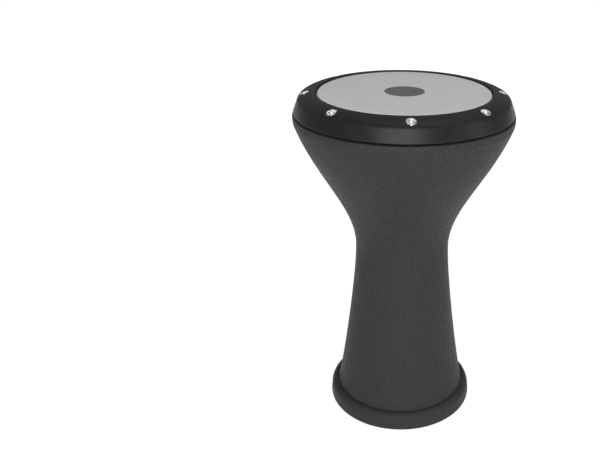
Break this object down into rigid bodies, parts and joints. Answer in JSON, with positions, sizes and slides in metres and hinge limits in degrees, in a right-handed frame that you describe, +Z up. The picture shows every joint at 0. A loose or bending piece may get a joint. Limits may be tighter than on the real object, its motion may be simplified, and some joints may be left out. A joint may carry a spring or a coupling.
{
  "type": "goblet drum",
  "caption": "Goblet drum with a one-piece cast shell, a synthetic head and a flush tension ring drawn down by socket-head bolts, standing on its flared foot.",
  "frame": {"origin": "on the floor, in the middle of the foot", "axes": "+Z up along the drum's axis towards the playing face; one tension bolt lies towards -Y, the side that faces the viewer"},
  "size_m": [0.2748, 0.2748, 0.4388],
  "materials": {
    "shell_coat": "wrinkled charcoal-black powder coat on a cast aluminium shell",
    "ring_black": "smooth satin black coat on cast aluminium",
    "film": "matte silver-grey polyester film with a plain dark-grey disc in the middle",
    "hoop_alloy": "plain rolled channel",
    "bright_steel": "bright plated steel"
  },
  "bodies": {
    "shell": {"shell": "shell_coat", "drumhead_film": "film"},
    "tension_ring": {"tension_ring": "ring_black", "drumhead_hoop": "hoop_alloy", "washer_1": "bright_steel", "washer_2": "bright_steel", "washer_3": "bright_steel", "washer_4": "bright_steel", "washer_5": "bright_steel", "washer_6": "bright_steel", "washer_7": "bright_steel", "washer_8": "bright_steel"},
    "tension_bolt_1": {"tension_bolt_1": "bright_steel"},
    "tension_bolt_2": {"tension_bolt_2": "bright_steel"},
    "tension_bolt_3": {"tension_bolt_3": "bright_steel"},
    "tension_bolt_4": {"tension_bolt_4": "bright_steel"},
    "tension_bolt_5": {"tension_bolt_5": "bright_steel"},
    "tension_bolt_6": {"tension_bolt_6": "bright_steel"},
    "tension_bolt_7": {"tension_bolt_7": "bright_steel"},
    "tension_bolt_8": {"tension_bolt_8": "bright_steel"}
  },
  "joints": [
    {"name": "tension_ring_travel", "type": "slide", "parent": "shell", "child": "tension_ring", "axis": [0, 0, 1], "range_m": [-0.0013, 0.003]},
    {"name": "tension_bolt_1_turn", "type": "hinge", "parent": "tension_ring", "child": "tension_bolt_1", "pos_m": [0, -0.1223, 0.428], "axis": [0, 0, 1], "range_deg": [-468, 1080]},
    {"name": "tension_bolt_2_turn", "type": "hinge", "parent": "tension_ring", "child": "tension_bolt_2", "pos_m": [0.08648, -0.08648, 0.428], "axis": [0, 0, 1], "range_deg": [-468, 1080]},
    {"name": "tension_bolt_3_turn", "type": "hinge", "parent": "tension_ring", "child": "tension_bolt_3", "pos_m": [0.1223, 0, 0.428], "axis": [0, 0, 1], "range_deg": [-468, 1080]},
    {"name": "tension_bolt_4_turn", "type": "hinge", "parent": "tension_ring", "child": "tension_bolt_4", "pos_m": [0.08648, 0.08648, 0.428], "axis": [0, 0, 1], "range_deg": [-468, 1080]},
    {"name": "tension_bolt_5_turn", "type": "hinge", "parent": "tension_ring", "child": "tension_bolt_5", "pos_m": [0, 0.1223, 0.428], "axis": [0, 0, 1], "range_deg": [-468, 1080]},
    {"name": "tension_bolt_6_turn", "type": "hinge", "parent": "tension_ring", "child": "tension_bolt_6", "pos_m": [-0.08648, 0.08648, 0.428], "axis": [0, 0, 1], "range_deg": [-468, 1080]},
    {"name": "tension_bolt_7_turn", "type": "hinge", "parent": "tension_ring", "child": "tension_bolt_7", "pos_m": [-0.1223, 0, 0.428], "axis": [0, 0, 1], "range_deg": [-468, 1080]},
    {"name": "tension_bolt_8_turn", "type": "hinge", "parent": "tension_ring", "child": "tension_bolt_8", "pos_m": [-0.08648, -0.08648, 0.428], "axis": [0, 0, 1], "range_deg": [-468, 1080]}
  ],
  "couplings": [
    {"joint": "tension_bolt_1_turn", "follows": "tension_ring_travel", "rad_per_m": 6283.2},
    {"joint": "tension_bolt_2_turn", "follows": "tension_ring_travel", "rad_per_m": 6283.2},
    {"joint": "tension_bolt_3_turn", "follows": "tension_ring_travel", "rad_per_m": 6283.2},
    {"joint": "tension_bolt_4_turn", "follows": "tension_ring_travel", "rad_per_m": 6283.2},
    {"joint": "tension_bolt_5_turn", "follows": "tension_ring_travel", "rad_per_m": 6283.2},
    {"joint": "tension_bolt_6_turn", "follows": "tension_ring_travel", "rad_per_m": 6283.2},
    {"joint": "tension_bolt_7_turn", "follows": "tension_ring_travel", "rad_per_m": 6283.2},
    {"joint": "tension_bolt_8_turn", "follows": "tension_ring_travel", "rad_per_m": 6283.2}
  ]
}
